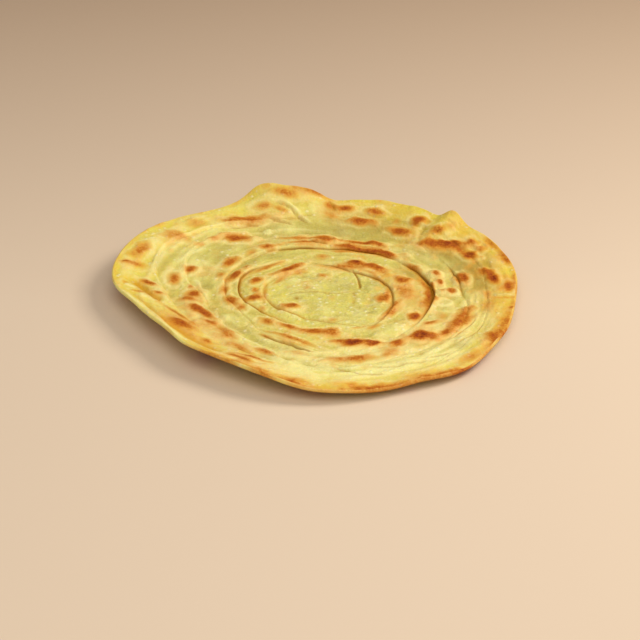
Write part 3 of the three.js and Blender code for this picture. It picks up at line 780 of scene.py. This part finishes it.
def edgeFace(turn, tip):
    # from the face's last line, tip, down to the underside: half a circle of half the rim's thickness with
    # two grooves, radius * (1 + groove * cos(waves * bend)), which come and go round the bread
    turn = turn[:, None]
    half = 0.5 * breadForm["rimThickness"]
    bend = np.linspace(0.5, -0.5, breadMesh["edgeLines"] + 2)[1:-1][None, :] * math.pi
    under = sheetAt(tip[..., 0], tip[..., 1])[0]
    thick = tip[..., 2] - under
    usual, change, count = breadForm["edgeComes"]
    layers = breadForm["edgeGroove"] * np.cos(breadForm["edgeWaves"] * bend)
    layers = layers * (usual + change * np.sin(count * turn))
    radius = rimAt(turn)[0] - half + half * np.cos(bend) * (1 + layers)
    x, y = radius * np.cos(turn), radius * np.sin(turn)
    face = np.stack([x, y, under + 0.5 * thick * (1 + np.sin(bend))], -1)
    tone = breadTone
    place = np.arctan2(y, x) % (2 * math.pi)
    toast = around(tone["edge"], place) + grain(x, y, "edgeToast")
    # painted light: the edge is made paler to make up for the shade it is in
    paleAndHighlight, golden = tone["edgePaintedLight"], tone["edgeGolden"]
    return face, {
        "toast": toast,
        "halo": tone["edgeHalo"] * toast,
        "paleAndHighlight": paleAndHighlight[0] + paleAndHighlight[1] * around(tone["cream"], place) - toast,
        "golden": golden[0] + golden[1] * around(tone["golden"], place),
        "bubbles": tone["edgeBubbles"],
    }


def underside(turn):
    # the sheet's own underside from the edge in to the middle, with soft browned patches
    turn = turn[:, None]
    inward = np.linspace(1, 0, breadMesh["floorLines"] + 1)[:-1][None, :]
    radius = (rimAt(turn)[0] - 0.5 * breadForm["rimThickness"]) * inward
    x, y = radius * np.cos(turn), radius * np.sin(turn)
    patches = smooth(*breadTone["undersidePatches"], grain(x, y, "undersideToast"))
    toast = breadTone["undersideToast"] * patches
    facts = {"toast": toast, "halo": patches, **breadTone["undersideEven"]}
    return np.stack([x, y, sheetAt(x, y)[0]], -1), facts


def buildBread():
    # face, edge and underside joined spoke by spoke, centred on the middle of their box, and their finish
    # as attributes, which are 0 where a side doesn't name them
    turn = np.linspace(0, 2 * math.pi, breadMesh["spokes"], endpoint=False)
    top, topFacts = topFace(turn)
    edge, edgeFacts = edgeFace(turn, top[:, -1:, :])
    floor, floorFacts = underside(turn)
    points = np.concatenate([top, edge, floor], 1)
    low, high = points.reshape(-1, 3).min(0), points.reshape(-1, 3).max(0)
    middle = np.array([(low[0] + high[0]) / 2, (low[1] + high[1]) / 2, 0])
    heart = np.array([*breadForm["heart"], top[:, 0, 2].mean()])
    piece = gridMesh("laccha_paratha", (points - middle) * mm, (heart - middle) * mm, -middle * mm)
    sides = ((top, topFacts), (edge, edgeFacts), (floor, floorFacts))
    for name in topFacts:
        whole = np.concatenate([facts.get(name, 0) + np.zeros(face.shape[:2]) for face, facts in sides], 1)
        putAttribute(piece, name, np.append(whole.ravel(), whole[0, [0, -1]]))
    return piece, middle


# griddled wheat dough brushed with butter: matte pale crumb, waxy yellow where the butter soaked in,
# and blistered brown marks that are drier and rougher
doughLook = {
    # from where the layers are thin and see-through to where the butter has turned them gold
    "dough": ((0.0, "#AC983C"), (0.17, "#C3B45A"), (0.4, "#D9CB64"), (0.68, "#E4D250"), (1.0, "#E6BF3C")),
    # what lies over it, in this order: what says how far it covers, and its colour; the pale layer holds
    # painted highlights, the flecks are partly painted oil glints, the amber is partly painted shade beside
    # open slits and the slit colour is painted shade
    "layers": (("crumbCover", "#E2D8A4"), ("paleAndHighlightCover", "#F7ED9C"), ("fleckCover", "#F9EFB8"),
               ("soaked", "#A08334"), ("amberCover", "#CE9416"), ("haloCover", "#E6A235"),
               ("brownCover", "browning"), ("slitShadeCover", "#AE7610")),
    "browning": ((0.0, "#E8A136"), (0.3, "#D88424"), (0.55, "#C07016"), (0.8, "#A44B0A"), (1.0, "#7C2C04")),
    "covers": (0.08, 0.55),  # browning where the brown first shows and where it hides the dough
    # noise patterns: millimetres and detail. The fine one is the crumb, drawn coarser than it is so that
    # it shows, and the last is how far apart the small blisters crowd together
    "noises": {"fine": (0.9, 3), "bubbly": (2.6, 2), "crumbly": (4.5, 1), "mottle": (6.0, 2),
               "cluster": (12.0, 1)},
    "noiseRoughness": 0.55,
    "fleckMm": 3.3,  # size of the cells that may hold a bright fleck
    # how much of a pattern shows: its name, its values for none and for the most, and that most
    "shows": {"near": ("fleckDistance", 0.36, 0.1, 1.0), "crowd": ("cluster", 0.4, 0.62, 0.4),
              "speckle": ("fine", 0.5, 0.72, 1.0), "thin": ("crumbly", 0.5, 0.72, 0.35)},
    "ior": 1.4,
    "specular": 0.27,
    "lightInside": 0.15,  # share of the light that passes through the dough before it leaves
    "lightReach": (1.0, 0.55, 0.2),  # of red, green and blue, as shares of the next
    "lightReachMm": 1.5,
    "bump": 0.9,
    "bumpMm": 0.7,
}

# how the patterns and attributes are put together: a name, an operation, and its inputs, which are numbers
# or earlier names
doughSums = (
    # gold of the dough, mottled everywhere and bubbled where small bubbles crowd
    ("mottled", "MULTIPLY_ADD", "mottle", 0.4, -0.2),
    ("evenGold", "ADD", "golden", "mottled"),
    ("bubbled", "MULTIPLY_ADD", "bubbly", 0.5, -0.25),
    ("gold", "MULTIPLY_ADD", "bubbled", "bubbles", "evenGold"),
    # bright flecks, partly flour and partly painted oil glints: the middles of the cells that chance and
    # crowding pick
    ("chance", "ADD", "some", "crowd"),
    ("likely", "MULTIPLY_ADD", "bubbles", 0.25, "chance"),
    ("picked", "GREATER_THAN", "likely", 0.95),
    ("fleck", "MULTIPLY", "near", "picked"),
    # how far each layer covers what is under it: the pale one holds painted highlights, the amber one butter
    # and painted shade beside open slits, the slit one painted shade
    ("crumbCover", "MULTIPLY", "thin", "bubbles"),
    ("speckleShare", "MULTIPLY_ADD", "bubbles", 0.2, 0.25),
    ("speckled", "MULTIPLY", "speckle", "speckleShare"),
    ("paleAndHighlightCover", "MULTIPLY_ADD", "paleAndHighlight", 0.8, "speckled"),
    ("fleckCover", "MULTIPLY", "fleck", 0.65),
    ("amberCover", "MULTIPLY", "amber", 0.9),
    ("haloCover", "MULTIPLY", "halo", 0.8),
    ("slitShadeCover", "MULTIPLY", "cleftShade", 0.9),
    # how brown: the toast attribute, speckled by the two finer patterns
    ("fineSpeck", "ADD", "fine", -0.88),
    ("speck", "MULTIPLY_ADD", "bubbly", 0.7, "fineSpeck"),
    ("toastSpeck", "MULTIPLY", "toast", "speck"),
    ("browned", "ADD", "toast", "toastSpeck"),
    # waxy where it is pale and drier where it is browned
    ("dryness", "MULTIPLY_ADD", "toast", 0.1, 0.36),
    ("roughness", "MULTIPLY_ADD", "fine", 0.3, "dryness"),
    ("fineRelief", "MULTIPLY", "fine", 0.35),
    ("fleckRelief", "MULTIPLY_ADD", "fleck", 0.35, "fineRelief"),
    ("relief", "MULTIPLY_ADD", "bubbly", 0.9, "fleckRelief"),
)


def doughMaterial(piece):
    # the dough's gold through a ramp, then layer over layer: crumb, pale and painted highlights, flecks that
    # are partly painted oil glints, soaked patches, amber butter and amber painted shade beside open slits,
    # orange haloes, the brown and the painted shade of the slits
    look = doughLook
    material, tree = newMaterial("griddled_wheat_dough")
    coords = addNode(tree, "TexCoord").outputs["Object"]
    value = {}
    for name, (sizeMm, detail) in look["noises"].items():
        settings = {"Scale": 1 / (sizeMm * mm), "Detail": detail, "Roughness": look["noiseRoughness"]}
        value[name] = addNode(tree, "TexNoise", {**settings, "Vector": coords})
    for layer in piece.data.attributes:
        if layer.data_type == "FLOAT":
            fact = addNode(tree, "Attribute", {"attribute_name": layer.name})
            value[layer.name] = fact.outputs["Fac"]
    cells = addNode(tree, "TexVoronoi", {"Scale": 1 / (look["fleckMm"] * mm), "Vector": coords})
    value["fleckDistance"] = cells.outputs["Distance"]
    value["some"] = addNode(tree, "SeparateColor", {"Color": cells.outputs["Color"]})
    for name, (pattern, none, full, most) in look["shows"].items():
        settings = {"From Min": none, "From Max": full, "To Max": most, "Value": value[pattern]}
        value[name] = addNode(tree, "MapRange", settings)
    for name, operation, *inputs in doughSums:
        known = {i: value[source] if isinstance(source, str) else source for i, source in enumerate(inputs)}
        value[name] = addNode(tree, "Math", {"operation": operation, **known})

    none, full = look["covers"]
    settings = {"From Min": none, "From Max": full, "Value": value["browned"]}
    value["brownCover"] = addNode(tree, "MapRange", settings)
    brown = addNode(tree, "ValToRGB", {"stops": look["browning"], "Fac": value["browned"]})
    dough = addNode(tree, "ValToRGB", {"stops": look["dough"], "Fac": value["gold"]}).outputs[0]
    for cover, colour in look["layers"]:
        over = brown if colour == "browning" else colour
        settings = {"data_type": "RGBA", 0: value[cover], 6: dough, 7: over}
        dough = addNode(tree, "Mix", settings).outputs[2]

    bump = addNode(tree, "Bump",
                   {"Strength": look["bump"], "Distance": look["bumpMm"] * mm, "Height": value["relief"]})
    surface = addNode(tree, "BsdfPrincipled", {
        "IOR": look["ior"],
        "Specular IOR Level": look["specular"],
        "Subsurface Weight": look["lightInside"],
        "Subsurface Radius": look["lightReach"],
        "Subsurface Scale": look["lightReachMm"] * mm,
        "Base Color": dough,
        "Roughness": value["roughness"],
        "Normal": bump,
    })
    addNode(tree, "OutputMaterial", {"Surface": surface})
    return material


bread, middle = buildBread()
bread.data.materials.append(doughMaterial(bread))
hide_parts("paratha")
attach(bread, "root")
print("bread:", len(bread.data.polygons), "faces")


# a seamless pale sweep, in metres: a floor that turns up behind the bread and goes on as a wall
studio = {
    "floorColour": "#E0C8AC",
    # painted shade: the paper darkens to this colour behind the bread, towards the wall
    "wallShadeColour": "#B5987B",
    "colourFrom": 0.0,  # how far behind the bread the floor's colour begins to turn to the wall's
    "colourTo": 0.55,
    "floorReach": 2.5,
    "sweepStart": 0.9,
    "sweepRadius": 0.7,
    "sweepHeight": 1.6,
    "sweepLines": (9, 24),  # across and round the bend
    "paperRoughness": 0.9,
    "skyColour": "#FFFFFF",
    "skyStrength": 0.4,
}


def paperMaterial():
    # matte paper with painted shade, darker towards the wall so that the floor and the wall read as one soft
    # gradient
    material, tree = newMaterial("matte_background_paper")
    coords = addNode(tree, "TexCoord").outputs["Object"]
    behind = addNode(tree, "SeparateXYZ", {"Vector": coords}).outputs["Y"]
    share = addNode(tree, "MapRange",
                    {"From Min": studio["colourFrom"], "From Max": studio["colourTo"], "Value": behind})
    paper = addNode(tree, "Mix",
                    {"data_type": "RGBA", 0: share, 6: studio["floorColour"], 7: studio["wallShadeColour"]})
    surface = addNode(tree, "BsdfPrincipled",
                      {"Roughness": studio["paperRoughness"], "Base Color": paper.outputs[2]})
    addNode(tree, "OutputMaterial", {"Surface": surface})
    return material


def buildSweep():
    # the profile is flat, then a quarter circle start + radius * (sin, 1 - cos), then upright, and it is
    # carried along X
    reach, start, radius = studio["floorReach"], studio["sweepStart"], studio["sweepRadius"]
    acrossLines, bendLines = studio["sweepLines"]
    bend = np.linspace(0, math.pi / 2, bendLines)
    flat = np.array([[-reach, 0.0], [start, 0.0]])
    curve = np.stack([start + radius * np.sin(bend), radius * (1 - np.cos(bend))], -1)
    wall = np.array([[start + radius, studio["sweepHeight"]]])
    profile = np.concatenate([flat, curve[1:], wall])
    across = np.repeat(np.linspace(-reach, reach, acrossLines)[:, None], len(profile), 1)
    sides = [np.broadcast_to(column, across.shape) for column in profile.T]
    points = np.stack([across, *sides], -1)
    rows, columns = across.shape
    corner = (np.arange(rows - 1)[:, None] * columns + np.arange(columns - 1)[None, :]).ravel()
    quads = np.stack([corner, corner + columns, corner + columns + 1, corner + 1], -1)
    sweep = newObject("paper_sweep", points.reshape(-1, 3).tolist(), quads.tolist())
    sweep.data.materials.append(paperMaterial())


# lamps: place in metres, size, power in watts, colour
lamps = {
    "right_softbox": ((0.85, 0.15, 0.8), 0.45, 8.4, "#FFFBF5"),
    "front_panel": ((0.05, -0.85, 1.15), 1.0, 8.3, "#FFFDFA"),
}


def buildLamps():
    # square lamps that look at the origin, along place * -1, and an even sky that fills the shadows
    for name, (place, size, power, colour) in lamps.items():
        light = bpy.data.lights.new(name, "AREA")
        light.size = size
        light.energy = power
        light.color = hexLinear(colour)[:3]
        lamp = bpy.data.objects.new(name, light)
        lamp.location = place
        lamp.rotation_euler = (-Vector(place)).to_track_quat("-Z", "Y").to_euler()
        bpy.context.scene.collection.objects.link(lamp)
    world = bpy.data.worlds.new("studio_room")
    world.use_nodes = True
    shade = world.node_tree.nodes["Background"]
    shade.inputs["Color"].default_value = hexLinear(studio["skyColour"])
    shade.inputs["Strength"].default_value = studio["skyStrength"]
    bpy.context.scene.world = world


# the bread's middle is at this pixel of a 640 x 640 frame, seen from 28 degrees up and a metre away
view = {"elevation": 28.0, "distance": 1.0, "pixelsPerMetre": 2030, "frame": 640, "middleAt": (315, 297),
        "sensorMm": 36, "nearest": 0.01}


def buildCamera():
    # the lens is focal length in pixels / frame * sensor, and the camera turns aside from the bread by
    # atan(pixels off the middle of the frame / focal length)
    focal = view["pixelsPerMetre"] * view["distance"]
    data = bpy.data.cameras.new("table_view")
    data.sensor_width = view["sensorMm"]
    data.lens = focal * data.sensor_width / view["frame"]
    data.clip_start = view["nearest"]
    camera = bpy.data.objects.new("table_view", data)
    rise = math.radians(view["elevation"])
    right, down = (math.atan((view["frame"] / 2 - at) / focal) for at in view["middleAt"])
    target = Vector((-middle[0] * mm, -middle[1] * mm, breadForm["middleThickness"] * mm))
    camera.location = target + view["distance"] * Vector((0, -math.cos(rise), math.sin(rise)))
    camera.rotation_euler = Euler((math.pi / 2 - rise - down, 0, -right))
    bpy.context.scene.collection.objects.link(camera)
    bpy.context.scene.camera = camera


buildSweep()
buildLamps()
buildCamera()
bpy.context.scene.view_settings.view_transform = "Standard"
print("studio ready")
